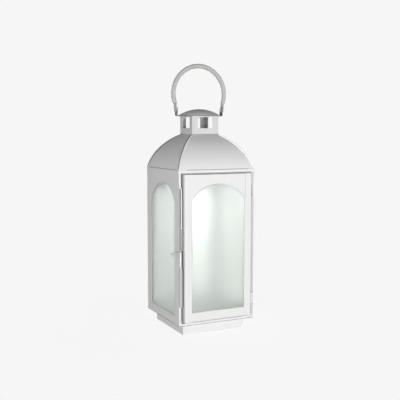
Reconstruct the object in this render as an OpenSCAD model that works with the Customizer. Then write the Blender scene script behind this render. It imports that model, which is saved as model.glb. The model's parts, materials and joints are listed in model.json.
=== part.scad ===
// Square candle lantern of folded sheet steel, with arched frosted windows, a hinged door, a curved
// four-sided roof, a vent neck, a round cap and a ring bail.
// Millimetres. +Z is up, the door faces -Y, and the origin is the middle of the base.

/* [Body] */
// Side of the square body
body_w = 150; // [135:1:165]
// Height of the walls
body_h = 277; // [245:1:310]
// Thickness of the wall and door sheet
sheet_t = 1; // [0.8:0.1:1.2]
// Width of the flange that joins a side wall to the back wall
wall_lap = 5; // [3:0.5:6]

/* [Plinth] */
// Side of the square plinth
plinth_w = 123.5; // [110:0.5:135]
// Height of the plinth
plinth_h = 20; // [12:1:30]
// Width of the plinth's turned-in upper flange
plinth_flange = 10; // [6:1:20]

/* [Windows] */
// Width of the sheet beside the wall windows
window_side = 18; // [16:0.5:28]
// Height of the sheet under the wall windows
window_sill = 15; // [13:1:30]
// Height of the sheet over the top of the arch
window_head = 23.6; // [15:0.1:35]
// Rise of the wall windows' arches
window_rise = 33; // [10:0.5:45]
// Thickness of the glass
glass_t = 2; // [1.6:0.1:2.4]
// How far the glass reaches past the edge of its window
glass_lap = 6; // [4:0.5:7]

/* [Glass clips] */
// Thickness of the clips
clip_t = 0.6; // [0.4:0.1:0.8]
// Width of a clip
clip_w = 10; // [6:1:16]
// How far a clip reaches over the glass
clip_reach = 4.5; // [3:0.5:5]
// Length of a clip's soldered foot
clip_foot = 3.5; // [2.5:0.5:4]

/* [Front frame] */
// Width of the frame's face round the door
frame_face = 4.5; // [4:0.1:6]
// Depth of the frame's jambs
jamb_d = 8; // [7:0.5:12]
// How far the stop that the door closes on reaches past the jambs
stop_lip = 5; // [4:0.5:6]

/* [Door] */
// Gap between the door and the frame on the latch side
gap_latch = 2.5; // [1.5:0.1:3.5]
// Gap between the door and the frame on the hinge side
gap_hinge = 5.5; // [5.2:0.1:6.5]
// Gap over the door
gap_top = 2.5; // [1:0.1:4]
// Gap under the door
gap_bottom = 3.5; // [1:0.1:4.5]
// How far the door stands proud of the frame
door_proud = 10; // [8:0.5:12]
// Width of the door's stiles
stile_w = 13.5; // [12:0.5:18]
// Height of the door's bottom rail
rail_h = 16; // [12:0.5:24]
// Height of the door's sheet over the top of the arch
door_head = 16.8; // [10:0.1:25]
// Rise of the door's arch
door_rise = 28.6; // [10:0.1:45]
// Outer radius of the door's folded edges
fold_r = 1.6; // [1.2:0.1:2]

/* [Door hinges] */
// Length of a hinge
hinge_len = 20; // [15:1:30]
// Distance from the door's top or bottom edge to the middle of its hinge
hinge_inset = 32; // [22:1:50]
// Outer diameter of the hinge knuckles
knuckle_d = 5; // [4.4:0.1:5]
// Diameter of the hinge pins
hinge_pin_d = 2.4; // [2:0.1:2.8]
// Thickness of the hinge leaves
leaf_t = 0.8; // [0.6:0.1:1]
// Distance from the pin's axis to the far edge of a leaf
leaf_w = 12; // [9:0.5:13]
// Gap between one knuckle and the next
knuckle_gap = 0.4; // [0.3:0.1:0.6]
// Height of a hinge pin's head
pin_head_h = 0.8; // [0.6:0.1:1.2]
// Diameter of a hinge pin's head
pin_head_d = 3.6; // [3.2:0.1:4.4]

/* [Latch] */
// Distance from the eave down to the latch's upper end
latch_drop = 29.7; // [15:0.1:35]
// Length of the upper guide tube and of the lower barrel
guide_len = 71; // [50:1:72]
// Length of the keeper on the door
keeper_len = 39.4; // [30:0.1:40]
// Length of bare bolt between the barrel and the keeper
bolt_bare = 29; // [20:0.5:30]
// Diameter of the bolt
bolt_d = 4; // [3.4:0.1:4.2]
// Outer diameter of the upper guide tube
guide_d = 5.6; // [5.4:0.1:6]
// Outer diameter of the lower barrel
barrel_d = 6.8; // [6.4:0.1:7.2]
// Distance from the body's left face to the bolt's axis
bolt_inset = 1.7; // [1.6:0.1:2.2]
// Radial clearance of the bolt in its guides
bolt_clear = 0.1; // [0.05:0.01:0.15]
// Radial clearance of the bolt in the keeper
keeper_clear = 0.4; // [0.3:0.05:0.5]
// Thickness of the keeper's sheet
keeper_t = 0.7; // [0.6:0.1:0.9]
// How far the raised bolt enters the upper guide
bolt_catch = 1.6; // [1:0.1:2]
// Diameter of the knob's stem
stem_d = 2.4; // [2:0.1:2.6]
// Diameter of the knob
knob_d = 3.6; // [3:0.1:5]
// Length of the knob
knob_len = 7; // [5:0.5:9]
// Reach of the knob's end from the bolt's axis
knob_reach = 18.5; // [16:0.5:22]

/* [Roof] */
// Rise of the roof from the eave to the neck
roof_h = 61; // [52:1:68]
// Radius of the roof panels' curve
panel_r = 106; // [100:1:130]
// Radius of the folded hip seams' curve
seam_r = 94; // [85:1:98]
// Thickness of a folded hip seam
seam_t = 2.4; // [1.6:0.1:3.2]
// Thickness of the plate between the walls and the roof
eave_t = 1.2; // [0.8:0.1:1.6]
// Width of the eave plate
eave_w = 13; // [9:1:18]
// Depth of the groove that the eave plate leaves
groove_d = 0.7; // [0.3:0.1:0.8]
// Length at each corner where the eave plate fills the groove
eave_corner = 14; // [8:1:20]

/* [Vent neck] */
// Side of the square neck
neck_w = 53; // [46:0.5:60]
// Height of the neck over the roof
neck_h = 34; // [26:1:42]
// Depth that the neck reaches into the roof
neck_sink = 5; // [3:1:8]
// Width of the neck's openings
vent_w = 30; // [20:1:34]
// Height of the neck's wall under the openings
vent_sill = 11.8; // [8:0.1:16]
// Height of the neck's wall over the openings
vent_head = 2; // [1.6:0.1:4]
// Width of the neck's turned-in top flange
neck_flange = 8; // [6:0.5:10]

/* [Cap] */
// Clearance of the cap's rim from the corners of the neck
cap_clear = 0.3; // [0.3:0.1:5]
// Rise of the cap's dome
cap_rise = 11.4; // [8:0.1:18]
// Height of the cap's rim
cap_rim = 2; // [1.8:0.1:4]
// Thickness of the cap's sheet
cap_t = 0.6; // [0.5:0.1:0.9]

/* [Bail] */
// Width of the strap that carries the ears
strap_w = 10; // [8:0.5:12]
// Thickness of the strap
strap_t = 1.5; // [1.2:0.1:2]
// Gap between the cap's rim and an ear
ear_gap = 7.1; // [5:0.1:10]
// Height of the bail's pivot over the neck
pivot_h = 11.8; // [11:0.1:15]
// Diameter of the bail's round bar
bail_d = 8.4; // [6:0.1:9]
// How far the ring's bar bulges past its flattened ends
ring_out = 3.7; // [2:0.1:6]
// Height of the ring's middle over the pivot
ring_rise = 28.3; // [26:0.1:30]
// Thickness of the bail's flattened ends
eye_t = 2; // [1.6:0.1:2.6]
// Width of the bail's flattened ends
eye_w = 9; // [8:0.5:10]
// Gap between an ear and the bail's end
eye_gap = 0.3; // [0.2:0.05:0.5]
// Height of the flattened ends over the pivot
eye_h = 11; // [10.5:0.5:12]
// Height over the pivot at which the bar is round again
round_h = 17; // [16:0.5:20]
// Diameter of the bail rivets
rivet_d = 4; // [3:0.1:4.4]
// Diameter of the bail rivets' heads
rivet_head_d = 7.4; // [6:0.1:8]
// Height of the bail rivets' heads
rivet_head_h = 1.6; // [1.2:0.1:2.2]
// Radial clearance of a rivet or pin in the piece that turns on it
turn_clear = 0.08; // [0.04:0.01:0.1]

/* [Strap rivets] */
// Diameter of the strap rivets
strap_rivet_d = 3; // [2:0.1:3.6]
// Diameter of the strap rivets' heads
strap_head_d = 5.4; // [4.6:0.1:6]
// Height of the strap rivets' heads
strap_head_h = 1.2; // [0.8:0.1:1.6]

/* [Hidden] */
$fn = 64;

paint = "#e6e6e4";
paint_shade = "#c9c9c6";
frosted = "#dfe8e1";
bare_steel = "#b9bab8";

// A rigid piece stands this far from a piece of another body that it closes on
rest_gap = 0.3;
// Cuts reach this far past the faces that they open
past = 1;

// Levels
z_body = plinth_h;
z_eave = z_body + body_h;
z_roof = z_eave + eave_t;
z_neck = z_roof + roof_h;
z_strap = z_neck + neck_h;
z_pivot = z_strap + pivot_h;
z_cap_rim = z_strap + strap_t;

// The frame's opening and the door in it
half = body_w / 2;
open_x = half - frame_face;
open_z0 = z_body + frame_face;
open_z1 = z_eave - frame_face;
z_pan = open_z0 - sheet_t;
door_x0 = -open_x + gap_latch;
door_x1 = open_x - gap_hinge;
door_z0 = open_z0 + gap_bottom;
door_z1 = open_z1 - gap_top;
door_mid = (door_x0 + door_x1) / 2;
door_front = -half - door_proud;
stop_front = -half + jamb_d;
door_back = stop_front - rest_gap;
door_d = door_back - door_front;

// Windows
window_w = body_w - 2 * window_side;
window_h = body_h - window_sill - window_head;
door_window_w = door_x1 - door_x0 - 2 * stile_w;
door_window_h = door_z1 - door_z0 - rail_h - door_head;

// Hinge axis
hinge_x = open_x - knuckle_d / 2;
hinge_y = door_front + 0.5 + knuckle_d / 2;
hinge_z_upper = door_z1 - hinge_inset;
hinge_z_lower = door_z0 + hinge_inset;

// Latch, from the top down
bolt_x = -half + bolt_inset;
keeper_in = bolt_d / 2 + keeper_clear;
keeper_out = keeper_in + keeper_t;
bolt_y = -half - max(barrel_d / 2, keeper_out + rest_gap);
latch_gap = 0.6;
z_guide1 = z_eave - latch_drop;
z_guide0 = z_guide1 - guide_len;
z_keeper1 = z_guide0 - latch_gap;
z_keeper0 = z_keeper1 - keeper_len;
z_barrel1 = z_keeper0 - bolt_bare;
z_barrel0 = z_barrel1 - guide_len;
barrel_floor = 1.2;
keeper_rivet_d = 2.4;
keeper_rivet_h = 0.7;
z_bolt0 = z_barrel0 + barrel_floor + rest_gap;
z_bolt1 = z_keeper0 - latch_gap;
bolt_travel = keeper_len + 2 * latch_gap + bolt_catch;
z_stem = z_bolt1 - bolt_catch - stem_d / 2 - 0.5;

// Centre of an arc of radius r from the eave's edge to the neck's edge
chord_x = half - neck_w / 2;
chord = sqrt(chord_x * chord_x + roof_h * roof_h);
function arc_off(r) = sqrt(r * r - chord * chord / 4);
function arc_cx(r) = (half + neck_w / 2) / 2 - arc_off(r) * roof_h / chord;
function arc_cz(r) = z_roof + roof_h / 2 - arc_off(r) * chord_x / chord;

// Cap, ears and ring, from the neck outwards
cap_r = neck_w / sqrt(2) + cap_clear + cap_t;
ear_x = cap_r + ear_gap + strap_t;
eye_x = ear_x + eye_gap;
ring_r = eye_x + eye_t / 2 + ring_out;
// The strap's rivets pass through the middle of the neck's flange
strap_rivet_x = (neck_w - sheet_t - neck_flange) / 2;

// Sphere of the cap's dome
dome_r = (cap_r * cap_r + cap_rise * cap_rise) / (2 * cap_rise);
dome_z = z_cap_rim + cap_rise - dome_r;

// Outline of an arched window that stands on y = 0, with an arch of the given rise
module arched_outline(w, h, rise) {
    r = (w * w / 4 + rise * rise) / (2 * rise);
    translate([-w / 2, 0]) square([w, h - rise]);
    intersection() {
        translate([-w / 2, 0]) square([w, h]);
        translate([0, h - r]) circle(r);
    }
}

// Rectangle given by its corners
module span(x0, x1, y0, y1) {
    translate([x0, y0]) square([x1 - x0, y1 - y0]);
}

// Box given by its corners
module block(x0, x1, y0, y1, z0, z1) {
    translate([x0, y0, z0]) cube([x1 - x0, y1 - y0, z1 - z0]);
}

// Stands an outline up in the XZ plane and gives it depth from y0 to y1
module standing(y0, y1) {
    translate([0, y1, 0]) rotate([90, 0, 0]) linear_extrude(y1 - y0) children();
}

// Square ring, side w outside, with walls of t
module square_ring(w, t, z0, z1) {
    translate([0, 0, z0]) linear_extrude(z1 - z0) difference() {
        square(w, center = true);
        square(w - 2 * t, center = true);
    }
}

// Base

module plinth() {
    color(paint) {
        translate([-plinth_w / 2, -plinth_w / 2, 0]) cube([plinth_w, plinth_w, sheet_t]);
        square_ring(plinth_w, sheet_t, 0, z_body);
        square_ring(plinth_w, plinth_flange, z_body - sheet_t, z_body);
    }
}

module floor_pan() {
    inside = body_w - 2 * sheet_t;
    color(paint_shade) {
        block(-inside / 2, inside / 2, -inside / 2, inside / 2, z_body, z_body + sheet_t);
        square_ring(inside, sheet_t, z_body, z_pan);
    }
}

// Walls. Each is drawn as a front wall with its outer face on y = 0.

module wall(x0, x1) {
    standing(0, sheet_t) difference() {
        span(x0, x1, z_body, z_eave);
        translate([0, z_body + window_sill]) arched_outline(window_w, window_h, window_rise);
    }
}

// Side wall with the flange that laps the back wall
module side_wall() {
    back = half - sheet_t;
    wall(-half, back);
    block(-back, -back + sheet_t, 0, sheet_t + wall_lap, z_pan, z_eave);
}

module left_wall() {
    color(paint) translate([-half, 0, 0]) rotate(-90) side_wall();
}

module right_wall() {
    color(paint) mirror([1, 0, 0]) translate([-half, 0, 0]) rotate(-90) side_wall();
}

module back_wall() {
    color(paint) translate([0, half, 0]) rotate(180) wall(-half + sheet_t, half - sheet_t);
}

// Face of the front and the jambs turned in from it
module front_frame() {
    color(paint) {
        standing(-half, -half + sheet_t) difference() {
            span(-half, half, z_body, z_eave);
            span(-open_x, open_x, open_z0, open_z1);
        }
        standing(-half, stop_front) difference() {
            span(-open_x - sheet_t, open_x + sheet_t, z_pan, open_z1 + sheet_t);
            span(-open_x, open_x, open_z0, open_z1);
        }
    }
}

// Flat ring on the back of the jambs
module door_stop() {
    color(paint_shade) standing(stop_front, stop_front + sheet_t) difference() {
        span(-open_x - sheet_t, open_x + sheet_t, z_pan, open_z1 + sheet_t);
        span(-open_x + stop_lip, open_x - stop_lip, open_z0 + stop_lip, open_z1 - stop_lip);
    }
}

module eave_plate() {
    edge = half - groove_d;
    color(paint_shade) translate([0, 0, z_eave]) linear_extrude(eave_t) difference() {
        union() {
            square(2 * edge, center = true);
            for (sx = [-1, 1], sy = [-1, 1])
                translate([sx * (half - eave_corner / 2), sy * (half - eave_corner / 2)])
                    square(eave_corner, center = true);
        }
        square(2 * (half - eave_w), center = true);
    }
}

// Glass. Each pane lies on the back of its sheet.

module wall_pane() {
    z0 = z_body + window_sill - glass_lap;
    standing(sheet_t, sheet_t + glass_t)
        span(-window_w / 2 - glass_lap, window_w / 2 + glass_lap, z0, z0 + window_h + 2 * glass_lap);
}

// Clip for a pane whose edge is on x = 0 and whose face is on y = 0, the glass being at +x
module clip() {
    standing(0, clip_t) span(-rest_gap - clip_foot, -rest_gap, -clip_w / 2, clip_w / 2);
    standing(0, glass_t + clip_t) span(-rest_gap - clip_t, -rest_gap, -clip_w / 2, clip_w / 2);
    standing(glass_t, glass_t + clip_t) span(-rest_gap - clip_t, clip_reach, -clip_w / 2, clip_w / 2);
}

// Two clips on each upright edge of a pane and two on its lower edge
module clip_set(w, z0, z1) {
    h = z1 - z0;
    for (sx = [0, 1], k = [0.18, 0.75])
        mirror([sx, 0, 0]) translate([-w / 2, 0, z0 + k * h]) clip();
    for (sx = [-1, 1])
        translate([sx * w / 4, 0, z0]) rotate([0, -90, 0]) clip();
}

module wall_clips() {
    z0 = z_body + window_sill - glass_lap;
    translate([0, sheet_t, 0])
        clip_set(window_w + 2 * glass_lap, z0, z0 + window_h + 2 * glass_lap);
}

module left_glass() {
    color(frosted) translate([-half, 0, 0]) rotate(-90) wall_pane();
}

module right_glass() {
    color(frosted) translate([half, 0, 0]) rotate(90) wall_pane();
}

module back_glass() {
    color(frosted) translate([0, half, 0]) rotate(180) wall_pane();
}

module left_glass_clips() {
    color(paint_shade) translate([-half, 0, 0]) rotate(-90) wall_clips();
}

module right_glass_clips() {
    color(paint_shade) translate([half, 0, 0]) rotate(90) wall_clips();
}

module back_glass_clips() {
    color(paint_shade) translate([0, half, 0]) rotate(180) wall_clips();
}

// Roof

// Outline between two arcs that meet the eave and the neck, drawn in across and up
module roof_outline(r, inset) {
    intersection() {
        translate([arc_cx(r), arc_cz(r)]) circle(r - inset);
        translate([-arc_cx(r), arc_cz(r)]) circle(r - inset);
        span(-half, half, z_roof, z_neck);
    }
}

// Solid under two crossing curved roofs
module roof_solid(r, inset) {
    intersection() {
        standing(-half, half) roof_outline(r, inset);
        rotate(90) standing(-half, half) roof_outline(r, inset);
    }
}

// Everything that lies between the two hips on the front side
module front_sector() {
    translate([0, 0, z_roof - past]) linear_extrude(roof_h + 2 * past)
        polygon([[0, 0], [-body_w, -body_w], [body_w, -body_w]]);
}

// Upright slabs along the hips at the two front corners
module hip_slabs() {
    for (a = [45, 135])
        rotate(a) translate([-body_w, -seam_t / 2, z_roof - past])
            cube([body_w, seam_t, roof_h + 2 * past]);
}

module roof_inside() {
    roof_solid(panel_r, sheet_t);
    block(-neck_w / 2, neck_w / 2, -neck_w / 2, neck_w / 2, z_roof, z_neck + past);
}

// Front or back panel with the folded seams at both of its hips
module seamed_panel() {
    difference() {
        union() {
            intersection() {
                roof_solid(panel_r, 0);
                front_sector();
            }
            intersection() {
                roof_solid(seam_r, 0);
                hip_slabs();
            }
        }
        roof_inside();
    }
}

// Left or right panel, drawn at the front, which ends at the seams
module plain_panel() {
    difference() {
        intersection() {
            roof_solid(panel_r, 0);
            front_sector();
        }
        hip_slabs();
        roof_inside();
    }
}

module roof_front_panel() {
    color(paint) seamed_panel();
}

module roof_back_panel() {
    color(paint) rotate(180) seamed_panel();
}

module roof_left_panel() {
    color(paint_shade) rotate(-90) plain_panel();
}

module roof_right_panel() {
    color(paint_shade) rotate(90) plain_panel();
}

module vent_neck() {
    vent_h = neck_h - vent_sill - vent_head;
    color(paint) difference() {
        union() {
            square_ring(neck_w, sheet_t, z_neck - neck_sink, z_strap);
            square_ring(neck_w, neck_flange, z_strap - sheet_t, z_strap);
        }
        for (a = [0, 90])
            rotate(a) translate([-vent_w / 2, -neck_w, z_neck + vent_sill])
                cube([vent_w, 2 * neck_w, vent_h]);
        for (sx = [-1, 1])
            translate([sx * strap_rivet_x, 0, z_strap - sheet_t - past])
                cylinder(d = strap_rivet_d, h = sheet_t + 2 * past);
    }
}

// Cap and bail

module strap_outline() {
    bend = strap_t + 1;
    span(0, ear_x - bend, z_strap, z_strap + strap_t);
    span(ear_x - strap_t, ear_x, z_strap + bend, z_pivot + strap_w / 2);
    intersection() {
        translate([ear_x - bend, z_strap + bend]) difference() {
            circle(bend);
            circle(bend - strap_t);
        }
        span(ear_x - bend, ear_x, z_strap, z_strap + bend);
    }
}

module bail_strap() {
    color(paint_shade) difference() {
        intersection() {
            standing(-strap_w / 2, strap_w / 2) {
                strap_outline();
                mirror([1, 0]) strap_outline();
            }
            union() {
                block(-body_w, body_w, -strap_w, strap_w, z_strap - past, z_pivot);
                translate([0, 0, z_pivot]) rotate([0, 90, 0])
                    cylinder(d = strap_w, h = 2 * body_w, center = true);
            }
        }
        translate([0, 0, z_pivot]) rotate([0, 90, 0])
            cylinder(d = rivet_d, h = 2 * body_w, center = true);
        for (sx = [-1, 1])
            translate([sx * strap_rivet_x, 0, z_strap - past])
                cylinder(d = strap_rivet_d, h = strap_t + 2 * past);
    }
}

module strap_rivets() {
    under = z_strap - sheet_t;
    color(bare_steel) for (sx = [-1, 1])
        translate([sx * strap_rivet_x, 0, 0]) {
            translate([0, 0, under]) cylinder(d = strap_rivet_d, h = sheet_t + strap_t);
            translate([0, 0, under - strap_head_h]) cylinder(d = strap_head_d, h = strap_head_h);
            translate([0, 0, z_cap_rim]) cylinder(d = strap_head_d, h = strap_head_h);
        }
}

// Half section of the cap's outside, or of its hollow when inset by the sheet
module cap_section(inset) {
    span(0, cap_r - inset, z_cap_rim - cap_rim, z_cap_rim);
    intersection() {
        translate([0, dome_z]) circle(dome_r - inset);
        span(0, cap_r, z_cap_rim, z_cap_rim + cap_rise);
    }
}

module cap() {
    color(paint_shade) difference() {
        rotate_extrude() difference() {
            cap_section(0);
            cap_section(cap_t);
            span(-past, cap_r - cap_t, z_cap_rim - cap_rim - past, z_cap_rim);
        }
        block(-body_w, body_w, -strap_w / 2 - rest_gap, strap_w / 2 + rest_gap,
              z_cap_rim - cap_rim - past, z_cap_rim);
    }
}

// Flattened end of the bail at the right
module bail_eye() {
    translate([eye_x, 0, z_pivot]) rotate([0, 90, 0]) cylinder(d = eye_w, h = eye_t);
    block(eye_x, eye_x + eye_t, -eye_w / 2, eye_w / 2, z_pivot, z_pivot + eye_h);
}

// Stretch below the ring's arc, which ends at angle a, where the bar is pressed flat between two planes
module bail_taper(a) {
    x_end = ring_r * cos(a);
    z_end = z_pivot + ring_rise + ring_r * sin(a);
    z_flat = z_pivot + eye_h - 1;
    reach = bail_d / 2 + past;
    intersection() {
        translate([x_end, 0, z_end]) rotate([0, -a, 0]) translate([0, 0, -round_h])
            cylinder(d = bail_d - 0.1, h = round_h + past);
        standing(-eye_w, eye_w) polygon([
            [eye_x, z_flat], [eye_x + eye_t, z_flat],
            [x_end + reach, z_end], [x_end + reach, z_end + 2 * past], [x_end - reach, z_end + 2 * past]
        ]);
    }
}

module bail_handle() {
    // Angle at which the ring's arc ends, below its own middle
    a = -asin((ring_rise - round_h) / ring_r);
    color(paint) difference() {
        union() {
            translate([0, 0, z_pivot + ring_rise]) rotate([90, 0, 0]) rotate(a)
                rotate_extrude(angle = 180 - 2 * a) translate([ring_r, 0]) circle(d = bail_d);
            for (m = [0, 1])
                mirror([m, 0, 0]) {
                    bail_eye();
                    bail_taper(a);
                }
        }
        translate([0, 0, z_pivot]) rotate([0, 90, 0])
            cylinder(d = rivet_d + 2 * turn_clear, h = 2 * body_w, center = true);
    }
}

// One rivet through each ear and eye, with a flat inner head and a domed outer one
module bail_rivets() {
    x_in = ear_x - strap_t;
    x_out = eye_x + eye_t + eye_gap;
    dome = (rivet_head_d * rivet_head_d / 4 + rivet_head_h * rivet_head_h) / (2 * rivet_head_h);
    color(bare_steel) for (m = [0, 1])
        mirror([m, 0, 0]) translate([0, 0, z_pivot]) rotate([0, 90, 0]) {
            translate([0, 0, x_in]) cylinder(d = rivet_d, h = x_out - x_in);
            translate([0, 0, x_in - rivet_head_h / 2]) cylinder(d = rivet_head_d, h = rivet_head_h / 2);
            translate([0, 0, x_out]) rotate_extrude() intersection() {
                translate([0, rivet_head_h - dome]) circle(dome);
                span(0, rivet_head_d / 2, 0, rivet_head_h);
            }
        }
}

// Door

// Section of a folded edge with its outer corner at the origin: one leg along x, one along y
module fold_section(leg_x, leg_y) {
    span(fold_r, leg_x, 0, sheet_t);
    span(0, sheet_t, fold_r, leg_y);
    intersection() {
        translate([fold_r, fold_r]) difference() {
            circle(fold_r);
            circle(fold_r - sheet_t);
        }
        span(0, fold_r, 0, fold_r);
    }
}

module stile() {
    translate([0, 0, door_z0]) linear_extrude(door_z1 - door_z0) fold_section(stile_w, door_d);
}

module door_latch_stile() {
    color(paint) translate([door_x0, door_front, 0]) stile();
}

module door_hinge_stile() {
    color(paint) translate([door_x1, door_front, 0]) mirror([1, 0, 0]) stile();
}

// Folded piece between the stiles, face_h high. Its flange runs on behind them to their sides.
module cross_piece(face_h) {
    translate([door_x0 + stile_w, door_front, 0]) rotate([90, 0, 90])
        linear_extrude(door_window_w) fold_section(door_d, face_h);
    block(door_x0 + sheet_t, door_x1 - sheet_t, door_front + fold_r, door_back, 0, sheet_t);
}

module door_bottom_rail() {
    color(paint) translate([0, 0, door_z0]) cross_piece(rail_h);
}

module door_arch_head() {
    color(paint) difference() {
        translate([0, 0, door_z1]) mirror([0, 0, 1]) cross_piece(door_z1 - door_z0 - rail_h);
        standing(door_front - past, door_front + sheet_t + past)
            translate([door_mid, door_z0 + rail_h])
                arched_outline(door_window_w, door_window_h, door_rise);
    }
}

module door_glass() {
    z0 = door_z0 + rail_h - glass_lap;
    color(frosted) standing(door_front + sheet_t, door_front + sheet_t + glass_t)
        span(door_x0 + stile_w - glass_lap, door_x1 - stile_w + glass_lap,
             z0, z0 + door_window_h + 2 * glass_lap);
}

module door_glass_clips() {
    z0 = door_z0 + rail_h - glass_lap;
    color(paint_shade) translate([door_mid, door_front + sheet_t, 0])
        clip_set(door_window_w + 2 * glass_lap, z0, z0 + door_window_h + 2 * glass_lap);
}

// Door hinges

knuckle = (hinge_len - 2 * knuckle_gap) / 3;
leaf_start = knuckle_d / 2 + rest_gap;

// Leaf at the right of the pin, its outer face on x = reach, with a knuckle at each height in starts
module hinge_half(reach, starts) {
    block(reach - leaf_t, reach, leaf_start, leaf_w, -hinge_len / 2, hinge_len / 2);
    for (z0 = starts)
        translate([0, 0, z0]) linear_extrude(knuckle) difference() {
            union() {
                circle(d = knuckle_d);
                span(reach - leaf_t, reach, 0, leaf_start);
                span(0, reach, 0, knuckle_d / 2 - leaf_t);
            }
            circle(d = hinge_pin_d + 2 * turn_clear);
        }
}

module frame_leaf(z) {
    color(paint_shade) translate([hinge_x, hinge_y, z])
        hinge_half(open_x - hinge_x, [-hinge_len / 2, hinge_len / 2 - knuckle]);
}

module door_leaf(z) {
    color(paint_shade) translate([hinge_x, hinge_y, z]) mirror([1, 0, 0])
        hinge_half(hinge_x - door_x1, [-knuckle / 2]);
}

module hinge_pin(z) {
    color(bare_steel) translate([hinge_x, hinge_y, z]) {
        cylinder(d = hinge_pin_d, h = hinge_len, center = true);
        for (s = [-1, 1])
            translate([0, 0, s * (hinge_len + pin_head_h) / 2])
                cylinder(d = pin_head_d, h = pin_head_h, center = true);
    }
}

module upper_hinge_frame_leaf() { frame_leaf(hinge_z_upper); }
module upper_hinge_door_leaf() { door_leaf(hinge_z_upper); }
module upper_hinge_pin() { hinge_pin(hinge_z_upper); }
module lower_hinge_frame_leaf() { frame_leaf(hinge_z_lower); }
module lower_hinge_door_leaf() { door_leaf(hinge_z_lower); }
module lower_hinge_pin() { hinge_pin(hinge_z_lower); }

// Latch

bolt_bore = bolt_d + 2 * bolt_clear;

// Pad that joins a tube to the frame's face
module tube_pad(z0, z1) {
    block(-half + rest_gap, -open_x - rest_gap, -half - barrel_d / 4, -half, z0, z1);
}

// Tube with a round upper end, open below
module latch_upper_guide() {
    z_round = z_guide1 - guide_d / 2;
    color(paint) difference() {
        union() {
            translate([bolt_x, bolt_y, z_guide0]) cylinder(d = guide_d, h = z_round - z_guide0);
            translate([bolt_x, bolt_y, z_round]) sphere(d = guide_d);
            tube_pad(z_guide0, z_round);
        }
        translate([bolt_x, bolt_y, z_guide0 - past])
            cylinder(d = bolt_bore, h = z_round - z_guide0 + past);
    }
}

// Tube with a closed lower end
module latch_lower_barrel() {
    color(paint) difference() {
        union() {
            translate([bolt_x, bolt_y, z_barrel0]) cylinder(d = barrel_d, h = guide_len);
            tube_pad(z_barrel0, z_barrel1);
        }
        translate([bolt_x, bolt_y, z_barrel0 + barrel_floor]) cylinder(d = bolt_bore, h = guide_len);
    }
}

// Keeper: a rolled channel, open to the front left for the knob's stem, on a foot on the door
module latch_keeper() {
    // The channel's edge clears the stem at the back and ends past the front
    back_edge = 180 - asin((stem_d / 2 + 2 * rest_gap) / keeper_in);
    front_edge = -75;
    far = 2 * keeper_out;
    color(paint) translate([0, 0, z_keeper0]) linear_extrude(keeper_len) {
        translate([bolt_x, bolt_y]) difference() {
            circle(keeper_out);
            circle(keeper_in);
            polygon([[0, 0], far * [cos(back_edge), sin(back_edge)], [-far, 0], [-far, -far],
                     [0, -far], far * [cos(front_edge), sin(front_edge)]]);
        }
        span(bolt_x + keeper_in + keeper_t / 2, door_x0, bolt_y - keeper_t / 2, bolt_y + keeper_t / 2);
        span(door_x0 - keeper_t, door_x0, door_front + fold_r, bolt_y + keeper_in);
    }
}

module keeper_rivets() {
    y = (door_front + fold_r + bolt_y) / 2;
    color(bare_steel) for (k = [0.2, 0.8])
        translate([door_x0 - keeper_t, y, z_keeper0 + k * keeper_len]) rotate([0, -90, 0])
            cylinder(d = keeper_rivet_d, h = keeper_rivet_h);
}

module latch_bolt() {
    tip = 0.6;
    color(bare_steel) difference() {
        translate([bolt_x, bolt_y, 0]) rotate_extrude() difference() {
            span(0, bolt_d / 2, z_bolt0, z_bolt1);
            polygon([[bolt_d / 2 - tip, z_bolt1], [bolt_d / 2, z_bolt1 - tip],
                     [bolt_d / 2 + past, z_bolt1 - tip], [bolt_d / 2 + past, z_bolt1 + past],
                     [bolt_d / 2 - tip, z_bolt1 + past]]);
        }
        translate([bolt_x, bolt_y, z_stem]) rotate([0, -90, 0]) cylinder(d = stem_d, h = bolt_d);
    }
}

// Knob, turned about the stem's axis
module latch_knob() {
    collar_x = keeper_out + 1;
    round_end = knob_d / 2;
    color(bare_steel) translate([bolt_x, bolt_y, z_stem]) rotate([0, -90, 0]) rotate_extrude() {
        span(0, stem_d / 2, 0, knob_reach - knob_len + past);
        span(0, stem_d / 2 + 0.9, collar_x, collar_x + 1.2);
        span(0, knob_d / 2, knob_reach - knob_len, knob_reach - round_end);
        intersection() {
            translate([0, knob_reach - round_end]) circle(round_end);
            span(0, round_end, knob_reach - round_end, knob_reach);
        }
    }
}

plinth();
floor_pan();
left_wall();
right_wall();
back_wall();
front_frame();
door_stop();
eave_plate();
left_glass();
right_glass();
back_glass();
left_glass_clips();
right_glass_clips();
back_glass_clips();
roof_front_panel();
roof_back_panel();
roof_left_panel();
roof_right_panel();
vent_neck();
bail_strap();
strap_rivets();
cap();
bail_handle();
bail_rivets();
door_latch_stile();
door_hinge_stile();
door_bottom_rail();
door_arch_head();
door_glass();
door_glass_clips();
upper_hinge_frame_leaf();
upper_hinge_door_leaf();
upper_hinge_pin();
lower_hinge_frame_leaf();
lower_hinge_door_leaf();
lower_hinge_pin();
latch_upper_guide();
latch_lower_barrel();
latch_keeper();
keeper_rivets();
latch_bolt();
latch_knob();
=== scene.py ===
# %% [markdown]
# A candle lantern of folded sheet steel, dressed for its picture.
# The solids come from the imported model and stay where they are. This file gives them their enamel,
# glass and zinc, adds the fine beads that a workshop leaves behind, and sets up camera and light.

# %% Load the lantern
import json
import math

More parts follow.
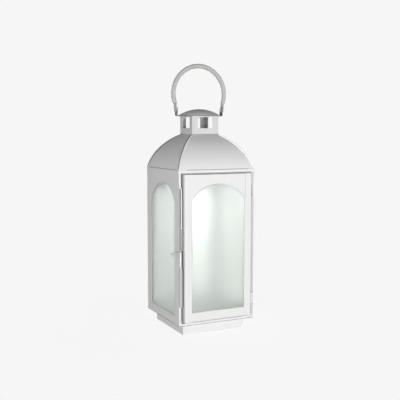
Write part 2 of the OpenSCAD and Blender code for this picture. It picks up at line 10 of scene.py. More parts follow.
import bmesh
import bpy
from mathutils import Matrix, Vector


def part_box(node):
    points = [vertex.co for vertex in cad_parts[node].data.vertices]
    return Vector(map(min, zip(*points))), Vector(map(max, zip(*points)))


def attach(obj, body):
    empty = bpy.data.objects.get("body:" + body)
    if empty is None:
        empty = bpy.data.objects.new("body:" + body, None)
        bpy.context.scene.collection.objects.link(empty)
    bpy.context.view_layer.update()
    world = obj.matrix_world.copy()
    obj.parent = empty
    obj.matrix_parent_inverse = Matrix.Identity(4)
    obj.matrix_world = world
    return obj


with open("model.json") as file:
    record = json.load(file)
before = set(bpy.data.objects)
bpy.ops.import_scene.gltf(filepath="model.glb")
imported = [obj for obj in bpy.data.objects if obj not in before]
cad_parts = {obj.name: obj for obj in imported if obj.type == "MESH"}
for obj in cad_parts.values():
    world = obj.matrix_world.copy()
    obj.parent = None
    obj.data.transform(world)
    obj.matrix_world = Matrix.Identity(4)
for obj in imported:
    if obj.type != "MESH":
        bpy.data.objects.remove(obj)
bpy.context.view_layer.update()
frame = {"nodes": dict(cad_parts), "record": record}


# %% [markdown]
# Blender works in metres and in linear colour. People measure a lantern in millimetres and pick
# paint by its screen colour, so two small helpers translate.

# %% Millimetres and colours
def mm(*values):
    scaled = [v / 1000 for v in values]
    return scaled[0] if len(scaled) == 1 else Vector(scaled)


def linear(hex_colour):
    """An sRGB colour such as "#f0f0f1" as linear RGBA."""
    parts = [int(hex_colour[i:i + 2], 16) / 255 for i in (1, 3, 5)]
    return [p / 12.92 if p <= 0.04045 else ((p + 0.055) / 1.055) ** 2.4 for p in parts] + [1.0]


print("a 1 mm sheet is", mm(1), "m; the enamel's white is",
      [round(c, 3) for c in linear("#f0f0f1")])


# %% [markdown]
# A material is a graph of nodes. One function adds a node, sets its properties, and sets or links
# its inputs, so each finish below reads like a short recipe.

# %% Adding a node
def node(tree, kind, inputs=None, **settings):
    added = tree.nodes.new("ShaderNode" + kind)
    for key, value in settings.items():
        setattr(added, key, value)
    for key, value in (inputs or {}).items():
        if isinstance(value, bpy.types.NodeSocket):
            tree.links.new(value, added.inputs[key])
        else:
            added.inputs[key].default_value = value
    return added


def new_material(name):
    material = bpy.data.materials.new(name)
    material.use_nodes = True
    material.node_tree.nodes.clear()
    return material, material.node_tree


def grain_scale(size_mm):
    """Noise scale at which one blob is about size_mm across, in object coordinates of metres."""
    return 1000 / size_mm


# %% [markdown]
# The sheet is sprayed with a matt white stove enamel. Such a coat isn't perfectly even: it clouds
# a little over a hand's width, and close up it has a fine orange peel, 2 to 3 mm from bump to bump.
# Folded and cut edges are never razor sharp under paint. The Bevel node bends the shading normal
# near an edge, which catches the light there and draws the folds. Where the bent normal and the
# true one part, there is an edge. There the colour turns whiter, a painted highlight on the edges.
# On the round cap and on the ring's flat ends the edges turn grey instead. The upright sides of the
# door darken towards the frame: painted shade in the gap. Above the eave the colour darkens with
# height to a warm grey, and inside the neck, round its vents, it darkens more: painted shade on the
# upper faces and in the deep neck.

# %% Enamel
edge_begins, edge_full = 0.995, 0.85
# Painted shade grows between these heights in mm, and is darker inside the neck round the vents.
upper_shade_from, upper_shade_full = 303, 358
neck_inner, vent_middle, vent_reach = 25.8, 368, 23
# Width in mm and share of the grey along the edges of the ring's flat ends.
grey_edge_width, grey_edge_share = 1.0, 0.85


def at_edges(tree, bent_normal, colour, edge_colour, share):
    """The colour, turned towards the edge colour where the bent normal leaves the true one.

    The two normals' dot product is 1 on flat sheet, and falls from edge_begins to edge_full.
    """
    true_normal = node(tree, "NewGeometry").outputs["Normal"]
    agree = node(tree, "VectorMath", {0: bent_normal, 1: true_normal}, operation="DOT_PRODUCT")
    edge = node(tree, "MapRange", {"Value": agree.outputs["Value"], "From Min": edge_begins,
                                   "From Max": edge_full, "To Min": 0.0, "To Max": share})
    return node(tree, "Mix", {0: edge.outputs[0], 6: colour, 7: linear(edge_colour)},
                data_type="RGBA").outputs[2]


def painted_upper_shade(tree, where, colour, darkest=0.22, neck_shade=0.55):
    """Painted shade: darker with height above the eave, and darker still inside the neck."""
    height = node(tree, "SeparateXYZ", {0: where}).outputs["Z"]
    shade_share = node(tree, "MapRange", {"Value": height, "From Min": mm(upper_shade_from),
                                   "From Max": mm(upper_shade_full), "To Min": 0.0, "To Max": darkest})
    aside = node(tree, "SeparateXYZ", {0: node(tree, "VectorMath", {0: where},
                                               operation="ABSOLUTE").outputs["Vector"]})
    furthest = node(tree, "Math", {0: aside.outputs["X"], 1: aside.outputs["Y"]},
                    operation="MAXIMUM")
    within = node(tree, "Math", {0: furthest.outputs[0], 1: mm(neck_inner)}, operation="LESS_THAN")
    in_neck = node(tree, "Math", {0: height, 1: mm(vent_middle), 2: mm(vent_reach)},
                   operation="COMPARE")
    inside = node(tree, "Math", {0: within.outputs[0], 1: in_neck.outputs[0]}, operation="MULTIPLY")
    dark_in_neck = node(tree, "Math", {0: inside.outputs[0], 1: neck_shade}, operation="MULTIPLY")
    total = node(tree, "Math", {0: shade_share.outputs[0], 1: dark_in_neck.outputs[0]}, operation="MAXIMUM")
    # The painted shade's colour, a warm dark grey.
    return node(tree, "Mix", {0: total.outputs[0], 6: colour, 7: linear("#322f28")},
                data_type="RGBA").outputs[2]


def painted_gap_shade(tree, where, colour, front, back, darkest):
    """Painted shade on a piece's sides: none at its front, the darkest at its back, both y in mm."""
    depth = node(tree, "SeparateXYZ", {0: where}).outputs["Y"]
    shade_share = node(tree, "MapRange", {"Value": depth, "From Min": mm(front), "From Max": mm(back),
                                   "To Min": 0.0, "To Max": darkest})
    # The painted shade's colour, a dark grey.
    return node(tree, "Mix", {0: shade_share.outputs[0], 6: colour, 7: linear("#3f3e3b")},
                data_type="RGBA").outputs[2]


def enamel(name, light, dark, roughness, peel_strength, gloss=0.3, fold=0.7, edge="#ffffff",
           edge_share=0.5, upper_shade=True, grey_edges_below=None, gap_shade=None):
    material, tree = new_material(name)
    where = node(tree, "TexCoord").outputs["Object"]
    cloud = node(tree, "TexNoise", {"Vector": where, "Scale": grain_scale(70), "Detail": 3.0})
    tint = node(tree, "Mix", {0: cloud.outputs[0], 6: linear(dark), 7: linear(light)},
                data_type="RGBA")
    colour = tint.outputs[2]
    # Painted shade on the upper faces and inside the neck.
    if upper_shade:
        colour = painted_upper_shade(tree, where, colour)
    peel = node(tree, "TexNoise", {"Vector": where, "Scale": grain_scale(2.5), "Detail": 2.0})
    bump = node(tree, "Bump", {"Strength": peel_strength, "Distance": mm(0.06),
                               "Height": peel.outputs[0]})
    # The edge colour, white by default, is a painted highlight along the edges.
    if fold:
        rounded = node(tree, "Bevel", {"Radius": mm(fold)}, samples=6)
        colour = at_edges(tree, rounded.outputs[0], colour, edge, edge_share)
        tree.links.new(rounded.outputs[0], bump.inputs["Normal"])
    if grey_edges_below:
        wide = node(tree, "Bevel", {"Radius": mm(grey_edge_width)}, samples=6)
        height = node(tree, "SeparateXYZ", {0: where}).outputs["Z"]
        low = node(tree, "Math", {0: height, 1: mm(grey_edges_below)}, operation="LESS_THAN")
        share = node(tree, "Math", {0: low.outputs[0], 1: grey_edge_share}, operation="MULTIPLY")
        colour = at_edges(tree, wide.outputs[0], colour, edge, share.outputs[0])
    # Painted shade on the door's sides, darker towards the frame.
    if gap_shade:
        colour = painted_gap_shade(tree, where, colour, *gap_shade)
    dust = node(tree, "TexNoise", {"Vector": where, "Scale": grain_scale(12), "Detail": 4.0})
    sheen = node(tree, "MapRange", {"Value": dust.outputs[0], "From Min": 0.3, "From Max": 0.7,
                                    "To Min": roughness - 0.05, "To Max": roughness + 0.07})
    paint = node(tree, "BsdfPrincipled", {
        "Base Color": colour, "Roughness": sheen.outputs[0], "Specular IOR Level": gloss,
        "IOR": 1.5, "Normal": bump.outputs[0]})
    node(tree, "OutputMaterial", {"Surface": paint.outputs[0]})
    return material


flat_ends_top = 417
# By default an enamel gets a painted highlight on its edges and painted shade above the eave.
finishes = {
    "painted_steel": enamel("white_stove_enamel_on_sheet", "#f0f0f1", "#e9e9ea", 0.6, 0.35),
    "painted_inside": enamel("white_stove_enamel_thin_coat", "#dededd", "#d2d2d1", 0.65, 0.25),
    "painted_bar": enamel("white_stove_enamel_on_round_bar", "#d8d8d7", "#cececd", 0.5, 0.04,
                          fold=0, edge="#5a5a58", grey_edges_below=flat_ends_top),
}
cap_finish = enamel("white_stove_enamel_on_spun_cap", "#f4f4f3", "#ececeb", 0.66, 0.2, gloss=0.12,
                    fold=0.5, edge="#6e6e6d")
# Dark grey for joints and the cap's rim, and for painted shadow lines at hips, hinge, latch, base.
grey_joint_and_shadow_lines = enamel("grey_for_joints_and_painted_shadow_lines", "#8e8e8c", "#7c7c7a", 0.7, 0.2, fold=0)
# Pale grey for the door's head joint, and painted shade on the strap's ears under the cap.
pale_grey_joint_and_shade = enamel("pale_grey_joint_line_and_painted_shade", "#a6a6a4", "#989896", 0.7, 0.2, fold=0)
# The keeper's grey is painted shade, and its whiter edges are a painted highlight.
keeper_painted_shade_and_highlight = enamel("grey_painted_shade_with_painted_highlight_on_edges", "#bdbdbb", "#b3b3b1", 0.7, 0.2,
                       fold=1.1, edge_share=1.0)
# Light grey for the lower latch tube, and for the stop: painted shade in the gap round the door.
light_grey_enamel = enamel("light_grey_enamel_for_stop_and_tube", "#c9c9c8", "#bfbfbe", 0.62, 0.2)
door_face, door_back = -85, -76
# The door's upright sides, with painted shade that darkens them towards the frame.
door_sides_painted_shade = enamel("white_stove_enamel_painted_shade_at_the_frame", "#f0f0f1", "#e9e9ea", 0.6, 0.35,
                     gap_shade=(door_face + 0.5, door_back, 0.47))
# Dark grey: painted shadow beside the upper latch tube.
tube_shadow_grey = enamel("dust_in_a_rolled_seam", "#4a4946", "#3a3937", 0.8, 0.2, fold=0)
print("enamels:", sorted(m.name for m in finishes.values()), "and", cap_finish.name, grey_joint_and_shadow_lines.name)


# %% [markdown]
# The rivets, hinge pins, bolt and knob are turned mild steel with a thin coat of zinc. A lathe
# leaves rings about a tenth of a millimetre apart. They are drawn a little coarser here so that
# they show, and the zinc's crystals give soft patches of lighter and darker grey.

# %% Zinc
def zinc_plate():
    material, tree = new_material("zinc_plated_turned_steel")
    where = node(tree, "TexCoord").outputs["Object"]
    patch = node(tree, "TexVoronoi", {"Vector": where, "Scale": grain_scale(1.8)})
    tint = node(tree, "Mix", {0: patch.outputs["Distance"], 6: linear("#bcbdbb"),
                              7: linear("#a0a19f")}, data_type="RGBA")
    rings = node(tree, "TexNoise", {"Vector": where, "Scale": grain_scale(0.4), "Detail": 1.0})
    soft = node(tree, "Bevel", {"Radius": mm(0.2)}, samples=4)
    bump = node(tree, "Bump", {"Strength": 0.2, "Distance": mm(0.02), "Height": rings.outputs[0],
                               "Normal": soft.outputs[0]})
    plate = node(tree, "BsdfPrincipled", {"Base Color": tint.outputs[2], "Metallic": 1.0,
                                          "Roughness": 0.38, "Normal": bump.outputs[0]})
    node(tree, "OutputMaterial", {"Surface": plate.outputs[0]})
    return material


finishes["zinc_steel"] = zinc_plate()
print("metal:", finishes["zinc_steel"].name)


# %% [markdown]
# The panes are float glass, etched with acid on one side. Etching leaves pits far below a
# millimetre, which spread the light, so nothing behind a pane shows sharply. Iron in the glass
# gives the pale green. Most light goes through at a changed angle and carries the blurred
# brightness of the windows on the far side: that is why the door's pane is whitest where the back
# window lies behind it. The rest stays in the milky etched skin, half of it on either side.

# %% Frosted glass
glass_roughness = 0.36
milk = 0.27
glass_tint = "#f4f9f5"
glass_pale = "#fafcfa"


def frosted_glass():
    material, tree = new_material("acid_etched_float_glass")
    where = node(tree, "TexCoord").outputs["Object"]
    etch = node(tree, "TexNoise", {"Vector": where, "Scale": grain_scale(0.9), "Detail": 2.0})
    cloud = node(tree, "TexNoise", {"Vector": where, "Scale": grain_scale(60), "Detail": 2.0})
    tint = node(tree, "Mix", {0: cloud.outputs[0], 6: linear(glass_tint), 7: linear(glass_pale)},
                data_type="RGBA")
    pits = node(tree, "Bump", {"Strength": 0.25, "Distance": mm(0.03), "Height": etch.outputs[0]})
    rough = node(tree, "MapRange", {"Value": etch.outputs[0], "From Min": 0.3, "From Max": 0.7,
                                    "To Min": glass_roughness - 0.04,
                                    "To Max": glass_roughness + 0.04})
    clear = node(tree, "BsdfPrincipled", {
        "Base Color": tint.outputs[2], "Roughness": rough.outputs[0], "IOR": 1.5,
        "Transmission Weight": 1.0, "Normal": pits.outputs[0]})
    back = node(tree, "BsdfDiffuse", {"Color": tint.outputs[2], "Normal": pits.outputs[0]})
    through = node(tree, "BsdfTranslucent", {"Color": tint.outputs[2], "Normal": pits.outputs[0]})
    skin = node(tree, "MixShader", {0: 0.5, 1: back.outputs[0], 2: through.outputs[0]})
    both = node(tree, "MixShader", {0: milk, 1: clear.outputs[0], 2: skin.outputs[0]})
    node(tree, "OutputMaterial", {"Surface": both.outputs[0]})
    return material


finishes["frosted_glass"] = frosted_glass()
print("glass:", finishes["frosted_glass"].name)


# %% [markdown]
# The record says which slot each solid takes its finish from, so the finishes go on in one loop.
# A few pieces differ. The cap was spun on a lathe and its coat is duller than the sheet's. The
# strap under the cap is pale grey, painted shade that darkens its two ears beside the cap. The
# latch's keeper is grey, painted shade, and its edges are whiter, a painted highlight. The stop
# behind the door is light grey, painted shade in the gap round the door, and the lower tube of the
# latch has the same light grey. The door's upright sides carry painted shade towards the frame. The
# upper hinge was painted with the sheet.
# The shapes of the solids are right already and none of them is moved or changed.

# %% Painting the solids
different = {"cap": cap_finish, "bail_strap": pale_grey_joint_and_shade, "latch_keeper": keeper_painted_shade_and_highlight,
             "door_stop": light_grey_enamel, "latch_lower_barrel": light_grey_enamel,
             "door_latch_stile": door_sides_painted_shade, "door_hinge_stile": door_sides_painted_shade,
             "upper_hinge_frame_leaf": finishes["painted_steel"],
             "upper_hinge_door_leaf": finishes["painted_steel"]}
for part in frame["record"]["subparts"]:
    solid = frame["nodes"][part["node"]]
    if not solid.material_slots:
        solid.data.materials.append(None)
    for slot in solid.material_slots:
        slot.material = different.get(part["node"], finishes[part["material_slot"]])


# %% [markdown]
# The small beads that follow all run along a line with the same cross-section. A bead is a list of
# outline points, each with its mitre direction, times a list of section points. The section gives
# how far inside the outline a point lies and how deep it is, and `place` turns both into a place
# on the lantern.

# %% A bead along an outline
def mitres(outline, closed):
    """The inward direction at each corner, long enough that the bead keeps its width."""
    directions = []
    count = len(outline)
    for i, here in enumerate(outline):
        before = outline[i - 1] if closed or i > 0 else None
        after = outline[(i + 1) % count] if closed or i < count - 1 else None
        normals = []
        for a, b in ((before, here), (here, after)):
            if a is not None and b is not None:
                run = (b - a).normalized()
                normals.append(Vector((-run.y, run.x)))
        total = sum(normals, Vector((0, 0)))
        directions.append(total / (1 + normals[0].dot(normals[-1])) if len(normals) == 2 else total)
    return directions


def bead(name, outline, section, place, body, closed=True):
    mesh = bmesh.new()
    rings = [[mesh.verts.new(place(*(point + inward * a), b)) for a, b in section]
             for point, inward in zip(outline, mitres(outline, closed))]
    steps = len(rings) if closed else len(rings) - 1
    sides = len(section)
    for i in range(steps):
        one, two = rings[i], rings[(i + 1) % len(rings)]
        for j in range(sides):
            k = (j + 1) % sides
            mesh.faces.new((one[j], one[k], two[k], two[j]))
    if not closed:
        mesh.faces.new(rings[0][::-1])
        mesh.faces.new(rings[-1])
    bmesh.ops.recalc_face_normals(mesh, faces=mesh.faces)
    for face in mesh.faces:
        face.smooth = len(face.verts) == 4
    data = bpy.data.meshes.new(name)
    mesh.to_mesh(data)
    mesh.free()
    piece = bpy.data.objects.new(name, data)
    bpy.context.scene.collection.objects.link(piece)
    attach(piece, body)
    return piece


# %% [markdown]
# Between each pane and the cut edge of its window runs a thin fillet of white glazing sealant,
# smoothed with a wet finger. It fills the corner where the 1 mm sheet stands on the glass, so the
# window's edge reads as a soft pale line with a fine shadow beside it.

# %% Sealant
def sealant():
    material, tree = new_material("white_glazing_silicone")
    where = node(tree, "TexCoord").outputs["Object"]
    drag = node(tree, "TexNoise", {"Vector": where, "Scale": grain_scale(3), "Detail": 2.0})
    tint = node(tree, "Mix", {0: drag.outputs[0], 6: linear("#dcdfda"), 7: linear("#e9ebe7")},
                data_type="RGBA")
    waves = node(tree, "Bump", {"Strength": 0.3, "Distance": mm(0.05), "Height": drag.outputs[0]})
    skin = node(tree, "BsdfPrincipled", {"Base Color": tint.outputs[2], "Roughness": 0.5,
                                         "IOR": 1.41, "Normal": waves.outputs[0]})
    node(tree, "OutputMaterial", {"Surface": skin.outputs[0]})
    return material


def arched(u0, u1, z0, z1, rise, steps=28):
    """A window's outline in mm, anticlockwise, with an arch of the given rise between its sides."""
    half = (u1 - u0) / 2
    radius = (half * half + rise * rise) / (2 * rise)
    middle = Vector(((u0 + u1) / 2, z1 - radius))
    spread = math.asin(half / radius)
    arc = [middle + radius * Vector((math.sin(t), math.cos(t)))
           for t in [spread * (1 - 2 * i / steps) for i in range(steps + 1)]]
    return [Vector((u0, z0)), Vector((u1, z0))] + arc


half_body = 75
seal_section = [(-0.1, 0.35), (0.15, 0.35), (0.45, 0.55), (0.8, 0.8), (1.1, 1.02), (-0.1, 1.1)]
door_window_top, door_arch_rise = 273.2, 28.6
wall_window = arched(u0=-57, u1=57, z0=35, z1=273.4, rise=33)
door_window = arched(u0=-54.5, u1=51.5, z0=44, z1=door_window_top, rise=door_arch_rise)
seal_material = sealant()
seals = [
    bead("left_glazing_seal", wall_window, seal_section,
         lambda u, z, d: mm(-half_body + d, u, z), "case"),
    bead("right_glazing_seal", wall_window, seal_section,
         lambda u, z, d: mm(half_body - d, u, z), "case"),
    bead("back_glazing_seal", wall_window, seal_section,
         lambda u, z, d: mm(u, half_body - d, z), "case"),
    bead("door_glazing_seal", door_window, seal_section,
         lambda u, z, d: mm(u, door_face + d, z), "door"),
]
for seal in seals:
    seal.data.materials.append(seal_material)
print("seals:", [s.name for s in seals], "with", len(seals[0].data.vertices), "points each")


# %% [markdown]
# The vent neck is soldered to the roof from outside. Solder runs into the corner and, once it is
# painted, leaves a small hollow fillet all round. The roof falls away at about 30 degrees there,
# so the fillet's foot reaches lower than its top.

# %% Solder round the neck
def square(half):
    """The corners of a square round the middle, anticlockwise."""
    return [Vector((sx * half, sy * half)) for sx, sy in ((-1, -1), (1, -1), (1, 1), (-1, 1))]


half_neck = 26.5
neck_foot = 359.2
fillet_section = [(0.1, 1.6), (-0.3, 0.5), (-0.9, -0.25), (-1.9, -1.05), (-1.6, -1.5), (0.1, -1.0)]
neck_solder = bead("neck_solder", square(half_neck), fillet_section,
                   lambda x, y, z: mm(x, y, neck_foot + z), "case")
neck_solder.data.materials.append(finishes["painted_steel"])
print("solder fillet round a neck of", 2 * half_neck, "mm")


# %% [markdown]
# The cap's raw edge is rolled back so that it is safe to touch. The roll runs round the rim as a
# thin band and stops on both sides of the strap. It is drawn in the same dark grey as the joints.

# %% Rolled rim of the cap
rim_low, rim_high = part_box("cap")
roll_proud = 0.12
rim_radius = 1000 * rim_high.x + roll_proud
rim_bottom = 1000 * rim_low.z
rim_height = 1.7
notch_half = 5.6
start = math.asin(notch_half / rim_radius)
roll_section = [(0.0, 0.3), (0.1, 0.08), (0.3, 0.0), (0.7, 0.0), (0.7, rim_height),
                (0.3, rim_height), (0.1, rim_height - 0.08), (0.0, rim_height - 0.3)]


def rim_arc(side, steps=48):
    angles = [start + (math.pi - 2 * start) * i / steps for i in range(steps + 1)]
    return [side * rim_radius * Vector((math.cos(t), math.sin(t))) for t in angles]


for label, side in (("back", 1), ("front", -1)):
    roll = bead("cap_rim_roll_" + label, rim_arc(side), roll_section,
                lambda x, y, z: mm(x, y, rim_bottom + z), "case", closed=False)
    roll.data.materials.append(grey_joint_and_shadow_lines)
print("rolled rim of radius", round(rim_radius, 2), "mm, from", round(rim_bottom, 2), "mm up")


# %% [markdown]
# The roof's skirt stands on the wall with a narrow joint, which stops short of the folded corners.
# The joint reads as a fine grey line: partly the joint's own dark, partly painted shade in its
# narrow groove. The same grey runs round the bottom of the body: painted shadow under its edge.

# %% Joint lines
line_section = [(-0.4, 0.2), (-0.3, -0.08), (0.3, -0.08), (0.4, 0.2)]
eave_height = 297.6
body_bottom = 20
joints = []
for label, ends, place in (
        ("front", (-60, 63), lambda u, z, d: mm(u, -half_body + d, z)),
        ("back", (-63, 60), lambda u, z, d: mm(u, half_body - d, z)),
        ("left", (-66, 74), lambda u, z, d: mm(-half_body + d, u, z)),
        ("right", (-66, 74), lambda u, z, d: mm(half_body - d, u, z))):
    outline = [Vector((u, eave_height)) for u in ends]
    joints.append(bead("eave_joint_" + label, outline, line_section, place, "case",
                       closed=False))
# A painted shadow line under the body's lower edge.
shadow_line_section = [(-0.08, 0.0), (-0.08, 0.8), (0.3, 0.8), (0.3, 0.0)]
joints.append(bead("painted_shadow_under_body", square(half_body), shadow_line_section,
                   lambda x, y, z: mm(x, y, body_bottom + z), "case"))
for joint in joints:
    joint.data.materials.append(grey_joint_and_shadow_lines)
print("joint lines:", [j.name for j in joints])


# %% [markdown]
# The four roof panels meet in folded seams along the hips. Each panel follows an arc between the
# wall's top and the neck's foot, so at a given height its distance from the middle comes from the
# circle's equation. The seam follows a slightly tighter arc and stands proud of the panels. On its
# crest runs a round bead in a whiter, slightly glossier enamel that catches the front lamps. It
# has none of the painted shade above the eave: a painted highlight. Beside it, on the side panel,
# runs a thin grey line of painted shade.

# %% Hip seams
roof_foot = 298.2
roof_height = neck_foot - roof_foot
chord_x = half_body - half_neck
chord = math.hypot(chord_x, roof_height)


def roof_reach(radius, z):
    """Half the roof's width in mm at height z, for an arc of the given radius."""
    offset = math.sqrt(radius ** 2 - (chord / 2) ** 2)
    centre_x = (half_body + half_neck) / 2 - offset * roof_height / chord
    centre_z = roof_foot + roof_height / 2 - offset * chord_x / chord
    return centre_x + math.sqrt(radius ** 2 - (z - centre_z) ** 2)


def round_line(name, points, radius, body, material):
    """A closed round bead of the given radius in mm along a line of points in mm."""
    curve = bpy.data.curves.new(name, "CURVE")
    curve.dimensions = "3D"
    curve.bevel_depth = mm(radius)
    curve.bevel_resolution = 3
    curve.use_fill_caps = True
    spline = curve.splines.new("POLY")
    spline.points.add(len(points) - 1)
    for point, (x, y, z) in zip(spline.points, points):
        point.co = (*mm(x, y, z), 1.0)
    curve.materials.append(material)
    piece = bpy.data.objects.new(name, curve)
    bpy.context.scene.collection.objects.link(piece)
    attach(piece, body)
    return piece


# Whiter than the sheet and free of the painted shade above the eave: a painted highlight.
crest_painted_highlight = enamel("white_enamel_with_painted_highlight_on_folds", "#fbfbfb", "#f4f4f4", 0.5, 0.1, fold=0,
                      upper_shade=False)
seam_radius, panel_radius = 94, 106
bead_radius = 1.2
seam_steps, seam_margin = 24, 1
heights = [roof_foot + seam_margin + (roof_height - 2 * seam_margin) * i / seam_steps
           for i in range(seam_steps + 1)]
for sx in (-1, 1):
    for sy in (-1, 1):
        label = {-1: "left", 1: "right"}[sx] + "_" + {-1: "front", 1: "back"}[sy]
        # The crest line is a painted highlight, the joint line beside it painted shade.
        for line, from_side, from_front, finish in (("crest", 1.0, 0.5, crest_painted_highlight),
                                                    ("joint", 0.3, 2.9, grey_joint_and_shadow_lines)):
            points = [(sx * (roof_reach(seam_radius, z) - from_side),
                       sy * (roof_reach(seam_radius, z) - from_front), z) for z in heights]
            round_line("hip_" + line + "_" + label, points, bead_radius, "case", finish)
middle_z = roof_foot + roof_height / 2
print("hip seams: the arcs stand", round(roof_reach(seam_radius, middle_z)
                                         - roof_reach(panel_radius, middle_z), 2),
      "mm apart half way up")


# %% [markdown]
# A dark line runs down the front left of the upper latch tube: painted shadow where the tube meets
# the frame. A finer, paler line runs down the lower tube on its side towards the door: painted
# shadow in the gap beside the door.
# Each line is a flat strip that ends inside the tube's 0.7 mm wall, so the bolt slides past it.

# %% Painted shadow lines on the latch tubes
end_gap = 0.5
strip_proud, strip_deep = 0.2, 0.3
dome_share = 0.6


def tube_shadow_strip(name, width, finish, towards, domed):
    """A strip up the side of a tube. On a domed tube it ends before the dome turns away."""
    low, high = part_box(name)
    tube_radius = 500 * (high.x - low.x)
    middle_x, middle_y = 500 * (low.x + high.x), 1000 * low.y + tube_radius
    facing = math.atan2(towards[1], towards[0])

    def on_tube(u, z, d):
        angle = facing + u / tube_radius
        return mm(middle_x + (tube_radius - d) * math.cos(angle),
                  middle_y + (tube_radius - d) * math.sin(angle), z)

    top = 1000 * high.z - (dome_share * tube_radius if domed else end_gap)
    line = [Vector((0, 1000 * low.z + end_gap)), Vector((0, top))]
    half, ridge = width / 2, 0.6 * width / 2
    section = [(-half, strip_deep), (-half, 0), (-ridge, -strip_proud), (ridge, -strip_proud),
               (half, 0), (half, strip_deep)]
    # The strip is a painted shadow line.
    shadow_strip = bead(name + "_seam", line, section, on_tube, "case", closed=False)
    shadow_strip.data.materials.append(finish)
    print(shadow_strip.name, "on a tube of radius", round(tube_radius, 2), "mm, up to",
          round(top, 1), "mm")
    return shadow_strip


tube_shadow_strip("latch_upper_guide", 1.8, tube_shadow_grey, (-0.62, -0.78), domed=True)
tube_shadow_strip("latch_lower_barrel", 0.6, grey_joint_and_shadow_lines, (0.6, -0.8), domed=False)


# %% [markdown]
# A hinge knuckle is a strip of sheet rolled round the pin. On the upper hinge a dark line runs along
# each knuckle: painted shadow in the gap beside the door's edge. Two knuckles belong to the frame
# and the middle one turns with the door, so each has a line of its own.

# %% Painted shadow lines on the upper hinge
low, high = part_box("upper_hinge_frame_leaf")
hinge_x, hinge_y = 68, -82
knuckle_radius = hinge_x - 1000 * low.x
bottom, top = 1000 * low.z, 1000 * high.z
third = (top - bottom) / 3
towards = (-0.66, -0.75)
shadow_x, shadow_y = hinge_x + towards[0] * knuckle_radius, hinge_y + towards[1] * knuckle_radius
knuckle_gap = 0.3
# Radius in mm of the painted shadow lines.
shadow_line_radius = 0.6
for label, body, start_z in (("low", "case", bottom), ("middle", "door", bottom + third),
                             ("high", "case", bottom + 2 * third)):
    round_line("upper_hinge_seam_" + label,
               [(shadow_x, shadow_y, start_z + knuckle_gap),
                (shadow_x, shadow_y, start_z + third - knuckle_gap)],
               shadow_line_radius, body, grey_joint_and_shadow_lines)
print("hinge knuckles of radius", round(knuckle_radius, 2), "mm, from", round(bottom, 1), "to",
      round(top, 1), "mm up")


# %% [markdown]
# The door's arched head butts against the hinge stile just above the window's right-hand edge. The
# paint has sunk a little into this joint and leaves a hair line up to the door's top.

# %% Joint of the door's head
head_top = 1000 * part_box("door_arch_head")[1].z
joint_x, joint_y = 52.1, door_face + 0.2
joint_foot = door_window_top - door_arch_rise + 1
hair_radius = 0.3
round_line("door_head_joint",
           [(joint_x, joint_y, joint_foot), (joint_x, joint_y, head_top - end_gap)],
           hair_radius, "door", pale_grey_joint_and_shade)
print("the head's joint runs from", joint_foot, "to", round(head_top, 1), "mm up")


# %% [markdown]
# The camera stands where the photographer's stood. Its place was worked out from sixteen corner
# points of the lantern: about 1.3 m from the middle, a little above half height, turned 25.7
# degrees to the left side and tipped down 5.5 degrees. There is no shift and no roll.

# %% Camera
camera_data = bpy.data.cameras.new("studio_camera")
camera_data.sensor_width = 36
camera_data.lens = 62.29
camera_data.clip_start = 0.05
camera = bpy.data.objects.new("studio_camera", camera_data)
camera.location = mm(-561.3, -1171.2, 362.5)
camera.rotation_euler = [math.radians(a) for a in (84.452, 0, -25.683)]
bpy.context.scene.collection.objects.link(camera)
bpy.context.scene.camera = camera
print("camera at", [round(c, 3) for c in camera.location], "with a", camera_data.lens, "mm lens")


# %% [markdown]
# The room is a pale studio with a long sweep of white paper behind the lantern. The frosted panes
# show it, at most as white as white can be, and it is brightest straight behind. To the sides the
# room is dimmer, so a sight line that leaves through the right window ends in a darker tone. The
# Light Path node tells the rays apart: the camera and glossy surfaces see plain pale paper, a ray
# that came through glass sees the sweep, and the rays that light the lantern see a faint, level
# room light.

# %% World
backdrop_colour = linear("#f6f6f6")
band_level = 0.04
dome_level = 0.04
backdrop_strength = 1.0
sweep_side = 0.66
sweep_back = 0.34
sweep_power = 2.0
straight_behind = Vector((0.35, 0.937, 0.0))


def sweep_strength(tree, direction):
    """How bright the room is for a ray through glass: brightest straight behind the lantern."""
    behind = node(tree, "VectorMath", {0: direction, 1: straight_behind},
                  operation="DOT_PRODUCT")
    facing = node(tree, "Math", {0: behind.outputs["Value"], 1: 0.0}, operation="MAXIMUM")
    lobe = node(tree, "Math", {0: facing.outputs[0], 1: sweep_power}, operation="POWER")
    return node(tree, "Math", {0: lobe.outputs[0], 1: sweep_back, 2: sweep_side},
                operation="MULTIPLY_ADD").outputs[0]


def camera_or_gloss(tree):
    path = node(tree, "LightPath").outputs
    return node(tree, "Math", {0: path["Is Camera Ray"], 1: path["Is Glossy Ray"]},
                operation="MAXIMUM").outputs[0]


world = bpy.data.worlds.new("pale_studio")
world.use_nodes = True
sky = world.node_tree
sky.nodes.clear()
direction = node(sky, "TexCoord").outputs["Generated"]
height = node(sky, "SeparateXYZ", {0: direction}).outputs["Z"]
lowness = node(sky, "Math", {0: 1.0, 1: height}, operation="SUBTRACT", use_clamp=True)
band = node(sky, "Math", {0: lowness.outputs[0], 1: 2.0}, operation="POWER")
level = node(sky, "Math", {0: band.outputs[0], 1: band_level, 2: dome_level},
             operation="MULTIPLY_ADD")
room = node(sky, "Background", {"Color": (1, 1, 1, 1), "Strength": level.outputs[0]})
plain = node(sky, "Background", {"Color": backdrop_colour, "Strength": backdrop_strength})
sweep = node(sky, "Background", {"Color": (1, 1, 1, 1), "Strength": sweep_strength(sky, direction)})
shown = node(sky, "MixShader", {0: camera_or_gloss(sky), 1: room.outputs[0], 2: plain.outputs[0]})
chosen = node(sky, "MixShader", {0: node(sky, "LightPath").outputs["Is Transmission Ray"],
                                 1: shown.outputs[0], 2: sweep.outputs[0]})
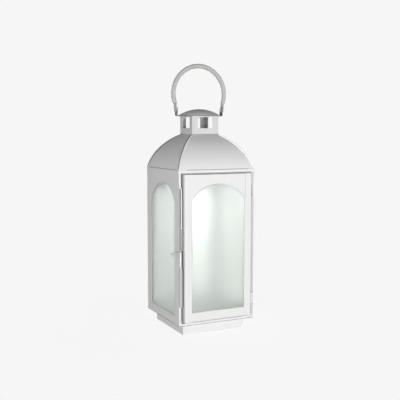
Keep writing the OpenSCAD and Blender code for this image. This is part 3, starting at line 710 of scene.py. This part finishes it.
node(sky, "OutputWorld", {"Surface": chosen.outputs[0]})
bpy.context.scene.world = world
print("world levels: band", band_level, "dome", dome_level, "sweep", sweep_side + sweep_back)


# %% [markdown]
# Broad lamps stand level with the lantern, all round it. The one in front lights the door's side,
# and the one at the front left lights both that side and the left one. So the door gets about twice
# as much light as the left side. Two more fill the back and the right, and leave them in between.
# None stands high, so surfaces that look upwards stay grey, as in the picture. The panes also catch
# the back lamp, as a soft glow.

# %% Lamps
key_watts = 25.5
left_watts = 31.0
back_watts = 26.0
right_watts = 22.0
lamp_foot = 0.03


def soft_lamp(name, x, y, width, tall, watts):
    data = bpy.data.lights.new(name, "AREA")
    data.shape = "RECTANGLE"
    data.size, data.size_y = width, tall
    data.energy = watts
    lamp = bpy.data.objects.new(name, data)
    lamp.location = (x, y, lamp_foot + tall / 2)
    aim = Vector((0, 0, lamp.location.z)) - lamp.location
    lamp.rotation_euler = aim.to_track_quat("-Z", "Y").to_euler()
    lamp.visible_camera = False
    bpy.context.scene.collection.objects.link(lamp)
    return lamp


lamps = [soft_lamp("front_softbox", 0.7, -2.1, 1.4, 0.4, key_watts),
         soft_lamp("left_softbox", -1.7, -1.5, 1.0, 0.4, left_watts),
         soft_lamp("back_softbox", 0.6, 2.2, 1.4, 0.4, back_watts),
         soft_lamp("right_softbox", 2.2, 0.3, 1.0, 0.5, right_watts)]
print("lamps:", [(lamp.name, lamp.data.energy) for lamp in lamps])


# %% [markdown]
# The floor is the front end of the same sweep, a plain sheet that runs on far behind. Round the
# lantern the camera sees a small share of the lamps' light on it, about a twenty-fifth of its tone,
# so that it takes a faint soft shadow. The paper's own brightness is lowered by as much. That share
# fades out over a few hundred millimetres, and from there on the floor shows exactly the tone of
# the backdrop, so that no line parts the two. The lantern itself is lit by a paler floor, and rays
# through the panes see it as bright as the sweep behind it.

# %% Floor
floor_material, ground = new_material("pale_studio_floor")
reflected = 0.04
fade_from, fade_to = 120, 400
floor_tone = "#a4a4a4"
shown_tone = "#636363"
matt = node(ground, "BsdfDiffuse", {"Color": linear(floor_tone)})
shown_matt = node(ground, "BsdfDiffuse", {"Color": linear(shown_tone)})
paper = node(ground, "Emission", {"Color": backdrop_colour, "Strength": backdrop_strength})
position = node(ground, "NewGeometry").outputs["Position"]
outward = node(ground, "VectorMath", {0: position}, operation="NORMALIZE")
bright = node(ground, "Emission", {"Color": (1, 1, 1, 1),
                                   "Strength": sweep_strength(ground, outward.outputs["Vector"])})
distance = node(ground, "VectorMath", {0: position}, operation="LENGTH")
fade = node(ground, "MapRange", {"Value": distance.outputs["Value"], "From Min": mm(fade_from),
                                 "From Max": mm(fade_to), "To Min": 1.0, "To Max": 0.0},
            interpolation_type="SMOOTHSTEP")
lowered = node(ground, "Emission", {"Color": backdrop_colour,
                                    "Strength": backdrop_strength - reflected / backdrop_colour[0]})
near = node(ground, "AddShader", {0: lowered.outputs[0], 1: shown_matt.outputs[0]})
as_seen = node(ground, "MixShader", {0: fade.outputs[0], 1: paper.outputs[0], 2: near.outputs[0]})
directly = node(ground, "MixShader", {0: camera_or_gloss(ground), 1: matt.outputs[0],
                                      2: as_seen.outputs[0]})
in_glass = node(ground, "MixShader", {0: node(ground, "LightPath").outputs["Is Transmission Ray"],
                                      1: directly.outputs[0], 2: bright.outputs[0]})
node(ground, "OutputMaterial", {"Surface": in_glass.outputs[0]})
reach = 30
floor_mesh = bpy.data.meshes.new("studio_floor")
floor_mesh.from_pydata([(*corner, 0) for corner in square(reach)], [], [(0, 1, 2, 3)])
floor = bpy.data.objects.new("studio_floor", floor_mesh)
floor.data.materials.append(floor_material)
bpy.context.scene.collection.objects.link(floor)
print("floor:", 2 * reach, "m wide")


# %% [markdown]
# Standard view keeps each colour as it was written.

# %% Finish
bpy.context.scene.view_settings.view_transform = "Standard"
